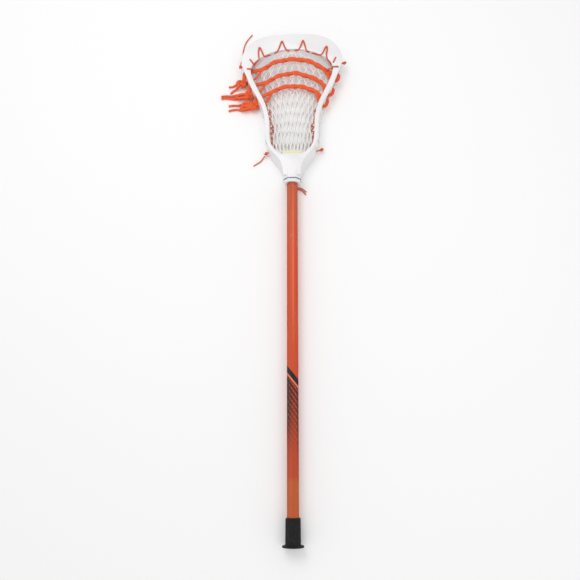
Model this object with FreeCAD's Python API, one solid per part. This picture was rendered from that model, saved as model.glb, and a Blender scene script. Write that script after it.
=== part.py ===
import FreeCAD, Part
import math
import os

# A men's field lacrosse stick lying on its back.  Millimetres.
# While it is built, x is across the stick, s runs along it from the butt face and z is
# height above the axis of the shaft.  export() moves it to the part's own frame.

V = FreeCAD.Vector

# ---------------------------------------------------------------- driving dimensions
STICK_LENGTH = 1046.0          # butt face to scoop tip
AXIS_HEIGHT = 20.0             # shaft axis above the surface the stick lies on

SHAFT_START = 4.0
SHAFT_LENGTH = 754.0           # close to the common 30 inch (762 mm) tube
SHAFT_WIDTH = 21.6
SHAFT_DEPTH = 24.8
SHAFT_FLAT = 8.0               # front and back flats
SHAFT_SIDE_FLAT = 9.6
SHAFT_HOLLOW = 0.4             # depth of the dished faces
SHAFT_WALL = 1.3
RUNNING_GAP = 0.05             # between the tube and what slides over it

CAP_LENGTH = 50.0
CAP_WALL = 2.7
CAP_TAPER = 0.35
FLANGE_RADIUS = 20.0
FLANGE_THICKNESS = 3.0
CAP_TOP_CHAMFER = 1.6

COLLAR_START = 702.0
COLLAR_LIP = 6.0
COLLAR_WIDTH = 36.4
COLLAR_DEPTH = 38.0
LIP_WIDTH = 30.8
LIP_DEPTH = 32.6
COLLAR_END = 760.0
GROOVE_WIDTH = 2.0
GROOVE_DEPTH = 1.5

SOCKET_END = 758.4
STOP_FACE = 763.0              # front face of the wall that stops the ball
STOP_WIDTH = 40.0
STOP_THICKNESS = 8.0
STOP_BOTTOM, STOP_TOP = -9.0, 17.0

FLOOR_Z, CROWN_Z = -20.0, 25.0
RAIL_DEPTH = 6.0
WALL_THICKNESS = 3.2
STRUT_WIDTH = 7.0
CHANNEL_END = 995.0
STRUT_LEAN = 5.0
OUTLINE_EDGES = 8              # lengths that a plan outline is divided into
WINDOW_CORNER = 2.5
STRUTS = (784.0, 806.0, 828.0, 848.0, 868.0, 889.0, 915.0, 946.0, 974.0)

SCREW_S = 722.0
SCREW_RADIUS = 2.0
SCREW_HEAD_RADIUS = 3.6
SCREW_HEAD_THICKNESS = 2.6
SCREW_TIP_Z = -7.6
SCREW_HEAD_Z = -18.6

MESH_THICKNESS = 2.0
MESH_EDGE_GAP = 3.0
BELLY_CENTRE_S = 846.0
BELLY_HALF_LENGTH = 46.0
BELLY_HALF_WIDTH = 30.0
BELLY_GAP = 0.6
BELLY_BOTTOM = -19.0

LACE_STRAND = 4.6
LACE_PITCH = 26.0
LACE_TAIL = 5.0
STRING = 2.6
STRING_STEP = 0.62             # length of a tube's straight pieces over its diameter

# half width of the frame against s: outside at the top of the walls, outside at the
# bottom of the walls, and the opening
OUTER_TOP = ((18.2, 702), (18.0, 726), (22.0, 746), (34.0, 764), (46.5, 782), (53.0, 799),
             (55.2, 823), (57.0, 851), (60.6, 870), (66.6, 887), (75.6, 905), (88.4, 929),
             (97.8, 952), (106.0, 971), (110.0, 986), (107.5, 1001), (97.5, 1018),
             (79.0, 1034), (52.0, 1043.2), (20.0, 1045.8))
OUTER_BOTTOM = ((18.2, 702), (19.5, 726), (30.0, 746), (43.5, 764), (53.0, 782), (57.5, 799),
                (58.5, 823), (60.5, 851), (65.0, 870), (71.0, 887), (79.5, 905), (91.0, 929),
                (98.5, 952), (104.5, 971), (107.0, 986), (104.0, 1000), (94.0, 1016),
                (76.0, 1031), (50.0, 1040), (20.0, 1042.4))
OPENING = ((20.0, 763), (28.0, 767), (37.0, 776), (43.0, 786), (46.2, 799), (47.5, 823),
           (49.0, 851), (52.8, 870), (58.0, 887), (66.0, 905), (77.4, 929), (85.0, 947),
           (88.6, 959), (88.8, 970), (83.8, 981), (73.0, 991), (57.0, 1000), (38.0, 1007),
           (18.0, 1011))

# height against s: top and bottom of the walls, and the underside of the mesh
WALL_TOP = ((702, 18.0), (768, 18.0), (800, 15.5), (850, 14.0), (900, 13.0), (950, 13.5),
            (985, 16.0), (1020, 20.5), (1060, 25.0))
WALL_BOTTOM = ((702, -18.2), (735, -20.0), (860, -20.0), (925, -20.0), (955, -17.0),
               (983, -9.0), (1000, 5.0), (1014, 12.5), (1030, 16.5), (1060, 21.5))
MESH_BOTTOM = ((773, -12.0), (850, -15.0), (900, -15.0), (940, -13.0), (965, -8.5),
               (985, -1.5), (1000, 6.0), (1012, 12.0))

# each lace: x of the left and right ends of its twist, s of its peak, how far it drops at a
# distance from the middle, the strut it loops on at the right, s and z where its two strands
# pass the left wall, and the centre and radius of its knot outside that wall
LACES = {
    "upper": dict(left=-69.0, right=80.0, peak=992.4, drop=33.4, reach=84.0, power=2.4,
                  strut=946.0, into=968.0, back=954.5, z=0.5,
                  knot=(-107.9, 949.0, -11.8), radius=8.0),
    "middle": dict(left=-60.0, right=67.0, peak=965.3, drop=27.3, reach=71.4, power=1.75,
                   strut=915.0, into=938.0, back=923.5, z=-4.5,
                   knot=(-96.2, 918.6, -11.0), radius=9.0),
    "lower": dict(left=-47.0, right=55.0, peak=935.6, drop=20.8, reach=60.0, power=1.9,
                  strut=889.0, into=908.0, back=897.5, z=-5.0,
                  knot=(-82.6, 892.6, -11.2), radius=8.4),
}
LACE_Z = -5.0

# free ends, as the corners of their routes
LACE_TAILS = {
    "lace_tail_upper_a": ((-115.0, 951.8, -4.6), (-119.4, 951.6, -11.8), (-127.6, 948.8, -17.4),
                          (-134.6, 946.2, -17.4), (-140.8, 946.4, -17.4)),
    "lace_tail_upper_b": ((-114.6, 944.6, -5.6), (-118.6, 941.8, -12.6), (-125.4, 938.8, -17.4),
                          (-132.0, 935.2, -17.4), (-136.4, 929.6, -17.4)),
    "lace_tail_middle_a": ((-103.6, 922.2, -15.0), (-111.0, 925.6, -17.4), (-122.5, 925.4, -17.4),
                           (-134.0, 922.8, -17.4), (-146.0, 925.0, -17.4),
                           (-157.0, 923.6, -17.4)),
    "lace_tail_middle_b": ((-103.8, 916.0, -15.0), (-111.5, 917.4, -17.4), (-122.5, 915.6, -17.4),
                           (-134.0, 916.6, -17.4), (-146.0, 919.4, -17.4),
                           (-157.0, 918.0, -17.4)),
    "lace_tail_lower_a": ((-90.2, 896.2, -15.0), (-98.0, 900.6, -17.4), (-109.0, 901.6, -17.4),
                          (-120.5, 899.4, -17.4), (-130.5, 900.8, -17.4),
                          (-140.0, 899.2, -17.4)),
    "lace_tail_lower_b": ((-90.4, 889.6, -15.0), (-98.5, 889.2, -17.4), (-109.5, 887.2, -17.4),
                          (-121.0, 890.2, -17.4), (-131.5, 889.4, -17.4),
                          (-140.0, 887.2, -17.4)),
}
STRING_TAILS = {
    "string_tail_top_left": ((-113.8, 986.6, -1.0), (-114.8, 1000.0, -12.0),
                             (-111.4, 1020.0, -18.6), (-110.6, 1040.5, -18.6),
                             (-106.0, 1057.5, -18.6), (-98.5, 1070.0, -18.6),
                             (-90.5, 1079.5, -18.6)),
    "string_tail_bottom_left": ((-59.2, 775.6, -14.6), (-64.0, 770.0, -18.6),
                                (-69.5, 763.0, -18.6), (-77.0, 759.0, -18.6),
                                (-83.4, 754.6, -18.6)),
    "throat_tail_a": ((3.0, 699.0, -14.0), (8.4, 701.0, -17.9), (15.0, 702.0, -18.6),
                      (22.6, 698.0, -18.6), (28.4, 691.6, -18.6)),
    "throat_tail_b": ((2.4, 696.0, -14.2), (7.9, 697.4, -17.9), (15.0, 698.0, -18.6),
                      (22.4, 693.0, -18.6), (27.6, 685.9, -18.6)),
}
SCOOP_KNOTS = {"scoop_knot_left": (-112.9, 983.0, 2.0), "scoop_knot_right": (112.9, 983.0, 2.0)}
BOTTOM_KNOTS = {"bottom_knot_left": (-56.4, 779.0, -12.0),
                "bottom_knot_right": (62.0, 785.4, -12.0)}
BOTTOM_HOLES = ((-62.0, 781.4, -11.2), (62.0, 781.4, -11.2))
BOTTOM_HOLE_RADIUS = 3.2      # roomy, because the string crosses the wall at a slant
STRING_KNOT_RADIUS = 3.6


# ---------------------------------------------------------------- helpers
def export(shape, node):
    """Moves a finished solid to the part's frame and writes its file."""
    placed = shape.copy()
    placed.translate(V(0, -STICK_LENGTH / 2, AXIS_HEIGHT))
    placed.exportStep("parts/" + node + ".step")
    bounds = placed.optimalBoundingBox(False)
    print("%-26s solids %d valid %s volume %10.1f  x %.1f %.1f  y %.1f %.1f  z %.1f %.1f" % (
        node, len(placed.Solids), placed.isValid(), placed.Volume, bounds.XMin, bounds.XMax,
        bounds.YMin, bounds.YMax, bounds.ZMin, bounds.ZMax))


def spline(points):
    """One smooth edge through points."""
    curve = Part.BSplineCurve()
    curve.interpolate([V(*point) for point in points])
    return curve.toShape()


def interpolate(table, s):
    """Straight-line value at s in a table of (s, value)."""
    if s <= table[0][0]:
        return table[0][1]
    for (s0, v0), (s1, v1) in zip(table, table[1:]):
        if s <= s1:
            return v0 + (v1 - v0) * (s - s0) / (s1 - s0)
    return table[-1][1]


def half_width(outline, s):
    """Half width of an outline at s, on its straight chords below the widest point."""
    return interpolate([(point_s, half) for half, point_s in outline], s)


def outline_wire(outline, z):
    """Closed plan outline at a height, rounded through its points and flat at its start."""
    right = [(half, s, z) for half, s in outline]
    left = [(-half, s, z) for half, s in reversed(outline)]
    curve = Part.BSplineCurve()
    curve.interpolate([V(*point) for point in right + left])
    first, last = curve.FirstParameter, curve.LastParameter
    cuts = [first + (last - first) * index / OUTLINE_EDGES for index in range(OUTLINE_EDGES + 1)]
    edges = [curve.toShape(a, b) for a, b in zip(cuts, cuts[1:])]
    return Part.Wire(edges + [Part.makeLine(V(*left[-1]), V(*right[0]))])


def inset(outline, distance):
    """An outline moved inwards by a distance, at right angles to its run."""
    moved = []
    last = len(outline) - 1
    for index, (half, s) in enumerate(outline):
        before = outline[max(index - 1, 0)]
        after = outline[min(index + 1, last)]
        across, along = after[0] - before[0], after[1] - before[1]
        run = math.hypot(across, along)
        moved.append((half - distance * along / run, s + distance * across / run))
    return moved


def outline_loft(bottom, top):
    """Solid between an outline at the floor and one at the crown."""
    return Part.makeLoft([outline_wire(bottom, FLOOR_Z), outline_wire(top, CROWN_Z)], True, True)


def side_band(top, bottom, start, end, half):
    """Solid across the stick between two height curves, from start to end."""
    upper = [(-half, s, z) for s, z in top if start < s < end]
    lower = [(-half, s, z) for s, z in bottom if start < s < end]
    upper = [(-half, start, interpolate(top, start))] + upper \
        + [(-half, end, interpolate(top, end))]
    lower = [(-half, start, interpolate(bottom, start))] + lower \
        + [(-half, end, interpolate(bottom, end))]
    wire = Part.Wire([spline(upper), Part.makeLine(V(*upper[-1]), V(*lower[-1])),
                      spline(lower[::-1]), Part.makeLine(V(*lower[0]), V(*upper[0]))])
    return Part.Face(wire).extrude(V(2 * half, 0, 0))


def raised(table, rise):
    """A height table moved up."""
    return [(s, z + rise) for s, z in table]


def octagon_corners(width, depth, flat, side_flat):
    """Corners of an octagon in the cross section, from the top right."""
    x0, x1, z0, z1 = flat / 2, width / 2, side_flat / 2, depth / 2
    return [(x0, z1), (x1, z0), (x1, -z0), (x0, -z1), (-x0, -z1), (-x1, -z0), (-x1, z0), (-x0, z1)]


def octagon_wire(s, width, depth, flat, side_flat, hollow=0.0):
    """Octagon across the stick at s, with its faces dished by a depth."""
    corners = octagon_corners(width, depth, flat, side_flat)
    edges = []
    for (xa, za), (xb, zb) in zip(corners, corners[1:] + corners[:1]):
        a, b = V(xa, s, za), V(xb, s, zb)
        if hollow:
            middle = (a + b) * 0.5
            inward = V(-middle.x, 0, -middle.z).normalize()
            edges.append(Part.Arc(a, middle + inward * hollow, b).toShape())
        else:
            edges.append(Part.makeLine(a, b))
    return Part.Wire(edges)


def octagon_bar(start, end, width, depth, flat, side_flat, hollow=0.0):
    """Straight bar with an octagonal section."""
    face = Part.Face(octagon_wire(start, width, depth, flat, side_flat, hollow))
    return face.extrude(V(0, end - start, 0))


def swept(wire, diameter):
    """Round tube along a wire."""
    edge = wire.Edges[0]
    start = edge.valueAt(edge.FirstParameter)
    profile = Part.Wire(Part.makeCircle(diameter / 2, start, edge.tangentAt(edge.FirstParameter)))
    return wire.makePipeShell([profile], True, False)


def smooth_tube(points, diameter):
    """Round tube along one smooth curve through points, as short straight lengths."""
    path = Part.BSplineCurve()
    path.interpolate([V(*point) for point in points])
    count = max(int(path.length() / (STRING_STEP * diameter)), 8)
    stations = path.discretize(count + 1)
    side = V(0.2, 0.1, 1)
    sections = []
    for index, here in enumerate(stations):
        run = stations[min(index + 1, count)] - stations[max(index - 1, 0)]
        run.normalize()
        side = (side - run * side.dot(run)).normalize()
        other = run.cross(side)
        ring = Part.Wire(Part.makeCircle(diameter / 2))
        ring.Placement = FreeCAD.Placement(FreeCAD.Matrix(
            side.x, other.x, run.x, here.x, side.y, other.y, run.y, here.y,
            side.z, other.z, run.z, here.z, 0, 0, 0, 1))
        sections.append(ring)
    return Part.makeLoft(sections, True, True)


def route_tube(node, corners, diameter):
    """Round tube along straight runs joined by tangent arcs."""
    points = [V(*corner) for corner in corners]
    edges, radii = [], []
    here = points[0]
    for before, corner, after in zip(points, points[1:], points[2:]):
        into, out = corner - before, after - corner
        turn = into.getAngle(out)
        reach = 0.45 * min(into.Length, out.Length)
        radius = reach / math.tan(turn / 2)
        radii.append(radius)
        into.normalize()
        out.normalize()
        first, last = corner - into * reach, corner + out * reach
        centre_way = (out - into).normalize()
        centre = corner + centre_way * (radius / math.cos(turn / 2))
        edges.append(Part.makeLine(here, first))
        edges.append(Part.Arc(first, centre - centre_way * radius, last).toShape())
        here = last
    edges.append(Part.makeLine(here, points[-1]))
    wire = Part.Wire(edges)
    tube = swept(wire, diameter)
    ideal = wire.Length * math.pi * diameter ** 2 / 4
    print("%-26s length %.1f  bend radii %s  volume over section x length %.4f" % (
        node, wire.Length, " ".join("%.1f" % r for r in radii), tube.Volume / ideal))
    return tube


# ---------------------------------------------------------------- shaft and cap
def screw_hole(radius, bottom, top):
    """Cylinder along the screw's axis."""
    return Part.makeCylinder(radius, top - bottom, V(0, SCREW_S, bottom), V(0, 0, 1))


def make_shaft():
    """Dished octagonal tube with the screw's hole in its back."""
    end = SHAFT_START + SHAFT_LENGTH
    tube = octagon_bar(SHAFT_START, end, SHAFT_WIDTH, SHAFT_DEPTH, SHAFT_FLAT, SHAFT_SIDE_FLAT,
                       SHAFT_HOLLOW)
    inside = 2 * (SHAFT_WALL + SHAFT_HOLLOW)
    bore = octagon_bar(SHAFT_START - 1, end + 1, SHAFT_WIDTH - inside, SHAFT_DEPTH - inside,
                       SHAFT_FLAT - 1.2, SHAFT_SIDE_FLAT - 1.2)
    hole = screw_hole(SCREW_RADIUS + RUNNING_GAP, -SHAFT_DEPTH, 0)
    return tube.cut(bore).cut(hole)


def make_end_cap():
    """Rubber cap: octagonal sleeve that widens to a round flange at the butt."""
    def section(s, grow):
        width = SHAFT_WIDTH + 2 * CAP_WALL + grow
        depth = SHAFT_DEPTH + 2 * CAP_WALL + grow
        return octagon_wire(s, width, depth, SHAFT_FLAT + 2.2, SHAFT_SIDE_FLAT + 2.2)
    sleeve = Part.makeLoft([section(FLANGE_THICKNESS - 1, 2 * CAP_TAPER),
                            section(CAP_LENGTH - CAP_TOP_CHAMFER, 0)], True, True)
    rim = Part.makeLoft([section(CAP_LENGTH - CAP_TOP_CHAMFER, 0),
                         section(CAP_LENGTH, -2 * CAP_TOP_CHAMFER)], True, True)
    disc = Part.makeCylinder(FLANGE_RADIUS, FLANGE_THICKNESS, V(0, 0, 0), V(0, 1, 0))
    disc = disc.makeFillet(1.1, [edge for edge in disc.Edges
                                 if edge.Curve.TypeId == "Part::GeomCircle"])
    skirt = Part.makeCone(FLANGE_RADIUS - 3.2, FLANGE_RADIUS - 6.4, 3.2,
                          V(0, FLANGE_THICKNESS - 0.3, 0), V(0, 1, 0))
    cap = sleeve.fuse([rim, disc, skirt]).removeSplitter()
    gap = 2 * RUNNING_GAP
    cavity = octagon_bar(SHAFT_START, CAP_LENGTH + 1, SHAFT_WIDTH + gap, SHAFT_DEPTH + gap,
                         SHAFT_FLAT + gap / 2, SHAFT_SIDE_FLAT + gap / 2, SHAFT_HOLLOW)
    return cap.cut(cavity)


# ---------------------------------------------------------------- head
def window(first, second):
    """Leaning opening between two struts, as a bar across the whole head."""
    a, b = first + STRUT_WIDTH / 2, second - STRUT_WIDTH / 2
    top = interpolate(WALL_TOP, (a + b) / 2) - RAIL_DEPTH - 1.0
    low = max(interpolate(WALL_BOTTOM, a), interpolate(WALL_BOTTOM, b)) + RAIL_DEPTH + 0.8
    half = OUTER_TOP[14][0] + 10
    corners = [V(-half, a, low), V(-half, b, low), V(-half, b + STRUT_LEAN, top),
               V(-half, a + STRUT_LEAN, top)]
    wire = Part.makePolygon(corners + corners[:1])
    bar = Part.Face(wire).extrude(V(2 * half, 0, 0))
    across = [edge for edge in bar.Edges
              if abs(abs(edge.tangentAt(edge.FirstParameter).x) - 1) < 1e-6]
    return bar.makeFillet(WINDOW_CORNER, across)


def make_collar():
    """Octagonal collar round the top of the shaft, with a lip and a groove."""
    flat, side = COLLAR_WIDTH * 0.46, COLLAR_DEPTH * 0.46
    shoulder = COLLAR_START + COLLAR_LIP
    body = octagon_bar(shoulder, COLLAR_END, COLLAR_WIDTH, COLLAR_DEPTH, flat, side)
    lip = Part.makeLoft([
        octagon_wire(COLLAR_START, LIP_WIDTH, LIP_DEPTH, LIP_WIDTH * 0.46, LIP_DEPTH * 0.46),
        octagon_wire(shoulder, COLLAR_WIDTH - 1.6, COLLAR_DEPTH - 1.6, flat - 0.7, side - 0.7),
    ], True, True)
    return body, lip


def make_groove():
    """Ring cut into the collar above its lip."""
    start = COLLAR_START + COLLAR_LIP - 0.4
    flat, side = COLLAR_WIDTH * 0.46, COLLAR_DEPTH * 0.46
    cut = 2 * GROOVE_DEPTH
    outside = octagon_bar(start, start + GROOVE_WIDTH, COLLAR_WIDTH + 4, COLLAR_DEPTH + 4,
                          flat + 2, side + 2)
    core = octagon_bar(start, start + GROOVE_WIDTH, COLLAR_WIDTH - cut, COLLAR_DEPTH - cut,
                       flat - 0.8, side - 0.8)
    return outside.cut(core)


def make_head_frame():
    """Moulded frame: collar, throat, two channelled walls with windows, and scoop."""
    half = OUTER_TOP[14][0] + 10
    outside = outline_loft(OUTER_BOTTOM, OUTER_TOP)
    opening = outline_loft(OPENING, OPENING)
    limits = side_band(WALL_TOP, WALL_BOTTOM, 716.0, 1054.0, half)
    frame = outside.cut(opening).common(limits)
    channel_zone = side_band(raised(WALL_TOP, -RAIL_DEPTH), raised(WALL_BOTTOM, RAIL_DEPTH),
                             STOP_FACE + 6, CHANNEL_END, half)
    channel = outline_loft(inset(OUTER_BOTTOM, WALL_THICKNESS), inset(OUTER_TOP, WALL_THICKNESS))
    frame = frame.cut(channel.common(channel_zone))
    frame = frame.cut([window(a, b) for a, b in zip(STRUTS, STRUTS[1:])])
    body, lip = make_collar()
    frame = frame.fuse([body, lip]).cut(make_groove())
    gap = 2 * RUNNING_GAP
    socket = octagon_bar(COLLAR_START - 1, SOCKET_END, SHAFT_WIDTH + gap, SHAFT_DEPTH + gap,
                         SHAFT_FLAT + gap / 2, SHAFT_SIDE_FLAT + gap / 2)
    frame = frame.cut(socket)
    frame = frame.cut([screw_hole(SCREW_RADIUS + RUNNING_GAP, -COLLAR_DEPTH, 0),
                       screw_hole(SCREW_HEAD_RADIUS + 0.2, -COLLAR_DEPTH,
                                  SCREW_HEAD_Z + SCREW_HEAD_THICKNESS + 0.05)])
    holes = [(hole, STRING / 2 + 0.3) for hole in SCOOP_KNOTS.values()]
    holes += [(hole, BOTTOM_HOLE_RADIUS) for hole in BOTTOM_HOLES]
    for (x, s, z), radius in holes:
        way = V(-math.copysign(1, x), 0, 0)
        frame = frame.cut(Part.makeCylinder(radius, 22, V(x, s, z), way))
    return frame.removeSplitter()


def make_head_screw():
    """Pan-head screw with a cross recess, driven from the back."""
    under_head = SCREW_HEAD_Z + SCREW_HEAD_THICKNESS
    head = screw_hole(SCREW_HEAD_RADIUS, SCREW_HEAD_Z, under_head)
    head = head.makeChamfer(0.6, [edge for edge in head.Edges
                                  if edge.BoundBox.ZMax < SCREW_HEAD_Z + 0.1])
    shank = screw_hole(SCREW_RADIUS, under_head - 0.2, SCREW_TIP_Z)
    tip = Part.makeCone(SCREW_RADIUS, 0.4, 2.2, V(0, SCREW_S, SCREW_TIP_Z), V(0, 0, 1))
    slot = Part.makeBox(4.4, 1.0, 1.5, V(-2.2, SCREW_S - 0.5, SCREW_HEAD_Z - 0.1))
    cross = Part.makeBox(1.0, 4.4, 1.5, V(-0.5, SCREW_S - 2.2, SCREW_HEAD_Z - 0.1))
    return head.fuse([shank, tip]).cut([slot, cross]).removeSplitter()


def make_ball_stop():
    """Foam strip on the wall above the socket."""
    strip = Part.makeBox(STOP_WIDTH, STOP_THICKNESS, STOP_TOP - STOP_BOTTOM,
                         V(-STOP_WIDTH / 2, STOP_FACE, STOP_BOTTOM))
    upright = [edge for edge in strip.Edges
               if abs(abs(edge.tangentAt(edge.FirstParameter).z) - 1) < 1e-6
               and edge.BoundBox.YMin > STOP_FACE + 1]
    return strip.makeFillet(1.2, upright)


# ---------------------------------------------------------------- pocket
def belly_plan(grow):
    """Upright oval bar where the loose middle of the pocket is."""
    oval = Part.Ellipse(V(0, BELLY_CENTRE_S, 0), BELLY_HALF_LENGTH + grow,
                        BELLY_HALF_WIDTH + grow)
    shape = oval.toShape()
    shape.rotate(V(0, BELLY_CENTRE_S, 0), V(0, 0, 1), 90)
    bar = Part.Face(Part.Wire(shape)).extrude(V(0, 0, CROWN_Z - FLOOR_Z))
    bar.translate(V(0, 0, FLOOR_Z))
    return bar


def make_mesh_border():
    """Mesh between the frame and the loose middle, as a thin sheet."""
    edge = inset(OPENING, MESH_EDGE_GAP)
    plan = outline_loft(edge, edge)
    band = side_band(raised(MESH_BOTTOM, MESH_THICKNESS), MESH_BOTTOM, 773.0, 1006.5, 110.0)
    return plan.common(band).cut(belly_plan(BELLY_GAP))


def make_pocket_belly():
    """Loose middle of the mesh, a shallow dish."""
    plan = belly_plan(0)
    slab = Part.makeBox(120, 120, MESH_THICKNESS, V(-60, BELLY_CENTRE_S - 60, BELLY_BOTTOM))
    return plan.common(slab)


# ---------------------------------------------------------------- strings and laces
def lace_strand(lace, share, phase):
    """Point on one strand of a twisted pair, from its left end at share 0."""
    span = lace["right"] - lace["left"]
    x = lace["left"] + span * share
    far = abs(x) / lace["reach"]
    s = lace["peak"] - lace["drop"] * far ** lace["power"]
    base = max(LACE_Z, interpolate(MESH_BOTTOM, s) + MESH_THICKNESS + LACE_STRAND + 0.4)
    angle = 2 * math.pi * span / LACE_PITCH * share + phase
    off = LACE_STRAND / 2 + 0.08
    slope = -lace["drop"] * lace["power"] * far ** (lace["power"] - 1) / lace["reach"] \
        * math.copysign(1, x)
    run = math.hypot(1, slope)
    return (x - off * math.cos(angle) * slope / run, s + off * math.cos(angle) / run,
            base + off * math.sin(angle))


def outside_wall(s):
    """Distance from the middle of a strand that lies on the outside of a wall."""
    return half_width(OUTER_BOTTOM, s) + LACE_STRAND / 2 + 1.2


def make_lace(lace):
    """Twisted pair of strands, joined by a loop round a strut at the right."""
    steps = 48
    going = [lace_strand(lace, index / steps, math.pi / 2) for index in range(steps + 1)]
    coming = [lace_strand(lace, index / steps, -math.pi / 2) for index in range(steps, -1, -1)]
    centre, z, knot = lace["strut"] + STRUT_LEAN / 2, lace["z"], lace["knot"]
    bend = [(outside_wall(centre + 9.5) - 9.0, centre + 9.5, z + 1.0),
            (outside_wall(centre + 6.0) - 1.0, centre + 6.0, z + 0.4),
            (outside_wall(centre), centre, z),
            (outside_wall(centre - 6.0) - 1.0, centre - 6.0, z - 0.4),
            (outside_wall(centre - 9.5) - 9.0, centre - 9.5, z - 1.0)]
    into, back = lace["into"], lace["back"]
    start = [(knot[0] + 1.0, knot[1] + 0.8 * lace["radius"], knot[2] + 3.5),
             (-outside_wall(into - 5.0) - 0.4, into - 5.0, z - 1.4),
             (-outside_wall(into) + 3.0, into, z),
             (-outside_wall(into) + 11.0, into + 2.2, z + 0.8)]
    finish = [(-outside_wall(back) + 13.5, back + 1.6, z - 0.4),
              (-outside_wall(back) + 5.0, back - 0.6, z - 1.2),
              (knot[0] + 3.0, knot[1] + 2.5, knot[2] + 4.5)]
    return smooth_tube(start + going[1:-1] + bend + coming[1:-1] + finish, LACE_STRAND)


def knot_solid(centre, radius):
    """Rounded knot, a little flat."""
    ball = Part.makeSphere(radius, V(*centre))
    press = 0.16 * radius
    slab = Part.makeBox(4 * radius, 4 * radius, 2 * (radius - press),
                        V(centre[0] - 2 * radius, centre[1] - 2 * radius,
                          centre[2] - radius + press))
    return ball.common(slab)


def make_top_string():
    """String from knot to knot, up over the scoop in four loops."""
    def over(x, s):
        return (x, s, interpolate(WALL_TOP, s) + STRING / 2 + 0.25)

    def edge(x, s):
        return (x, s, interpolate(MESH_BOTTOM, s) + MESH_THICKNESS + STRING / 2 + 0.6)

    def climb(x, s):
        return (x, s, interpolate(WALL_TOP, s) + 1.2)

    points = [(-110.5, 983.0, 2.0), (-100.0, 983.0, 2.2), (-90.0, 981.4, 3.0),
              (-81.5, 979.0, 2.4), edge(-77.4, 982.6), climb(-75.6, 987.4),
              over(-69.0, 1016.6), climb(-60.8, 996.6), edge(-56.0, 994.6),
              edge(-46.0, 999.4), edge(-34.5, 1003.6), climb(-28.0, 1007.6),
              over(-20.2, 1029.2), climb(-9.8, 1009.4), edge(-5.5, 1006.4), edge(2.0, 1007.0),
              edge(8.5, 1006.2), climb(14.0, 1009.4), over(25.6, 1029.2), climb(33.4, 1006.6),
              edge(38.0, 1002.2), edge(47.0, 999.0), edge(58.0, 993.6), climb(67.4, 992.6),
              over(76.0, 1013.9), climb(80.6, 983.4), edge(81.4, 977.6),
              (90.0, 981.4, 3.0), (100.0, 983.0, 2.2), (110.5, 983.0, 2.0)]
    return smooth_tube(points, STRING)


def make_sidewall_string(side):
    """String that waves along one wall between the mesh and the rail."""
    first, last, waves, steps = 796.0, 940.0, 10, 60
    points = []
    for index in range(steps + 1):
        s = first + (last - first) * index / steps
        turn = 2 * math.pi * waves * index / steps
        x = half_width(OPENING, s) - 4.6 + 1.8 * math.sin(turn)
        z = interpolate(MESH_BOTTOM, s) + MESH_THICKNESS + STRING / 2 + 1.5 + 0.9 * math.cos(turn)
        points.append((side * x, s, z))
    return smooth_tube(points, STRING)


def make_bottom_string():
    """String across the foot of the pocket, out through the first window each side."""
    left = BOTTOM_KNOTS["bottom_knot_left"]
    right = BOTTOM_KNOTS["bottom_knot_right"]
    points = [(left[0] + 1.6, left[1] + 1.0, left[2] + 0.8), (-50.0, 781.4, -11.2),
              (-42.0, 783.4, -12.2), (-31.0, 780.0, -13.8), (-16.0, 774.6, -14.0),
              (0.0, 772.6, -14.0), (16.0, 774.6, -14.0), (31.0, 780.0, -13.8),
              (42.0, 783.2, -12.2), (50.0, 781.2, -11.2),
              (right[0] - 1.8, right[1] - 1.6, right[2] + 0.8)]
    return smooth_tube(points, STRING)


# ---------------------------------------------------------------- build
def main():
    """Builds every piece and writes it."""
    os.makedirs("parts", exist_ok=True)
    export(make_shaft(), "shaft")
    export(make_end_cap(), "end_cap")
    export(make_head_frame(), "head_frame")
    export(make_head_screw(), "head_screw")
    export(make_ball_stop(), "ball_stop")
    export(make_mesh_border(), "mesh_border")
    export(make_pocket_belly(), "pocket_belly")
    export(make_top_string(), "top_string")
    for name, side in (("left", -1), ("right", 1)):
        export(make_sidewall_string(side), "sidewall_string_" + name)
    export(make_bottom_string(), "bottom_string")
    for name, lace in LACES.items():
        export(make_lace(lace), "lace_" + name)
        export(knot_solid(lace["knot"], lace["radius"]), "lace_knot_" + name)
    for knots in (SCOOP_KNOTS, BOTTOM_KNOTS):
        for node, centre in knots.items():
            export(knot_solid(centre, STRING_KNOT_RADIUS), node)
    for node, corners in LACE_TAILS.items():
        export(route_tube(node, corners, LACE_TAIL), node)
    for node, corners in STRING_TAILS.items():
        export(route_tube(node, corners, STRING), node)


main()
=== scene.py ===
"""Lacrosse stick lying on its back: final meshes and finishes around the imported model."""
import logging
import math
import random
from dataclasses import dataclass
from enum import Enum
from typing import Callable, Iterable, Optional, Sequence

import bmesh
import bpy
from mathutils import Matrix, Vector

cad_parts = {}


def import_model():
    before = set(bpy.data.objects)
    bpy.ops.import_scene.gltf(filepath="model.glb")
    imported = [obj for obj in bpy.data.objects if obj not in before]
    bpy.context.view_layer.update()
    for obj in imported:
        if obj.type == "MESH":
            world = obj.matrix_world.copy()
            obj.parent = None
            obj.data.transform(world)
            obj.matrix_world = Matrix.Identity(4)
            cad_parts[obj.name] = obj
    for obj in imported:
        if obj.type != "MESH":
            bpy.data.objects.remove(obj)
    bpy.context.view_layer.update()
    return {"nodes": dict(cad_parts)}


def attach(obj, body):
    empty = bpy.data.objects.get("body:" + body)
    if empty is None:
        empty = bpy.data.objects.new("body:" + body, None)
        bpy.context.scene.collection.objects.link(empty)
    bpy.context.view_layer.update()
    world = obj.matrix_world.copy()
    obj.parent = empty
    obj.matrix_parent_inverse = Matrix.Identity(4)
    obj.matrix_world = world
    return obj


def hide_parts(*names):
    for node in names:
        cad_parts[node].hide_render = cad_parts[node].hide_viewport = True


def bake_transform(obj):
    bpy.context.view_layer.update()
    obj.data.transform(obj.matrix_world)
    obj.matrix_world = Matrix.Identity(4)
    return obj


LOG = logging.getLogger("stick")
Point = tuple[float, float, float]
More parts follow.
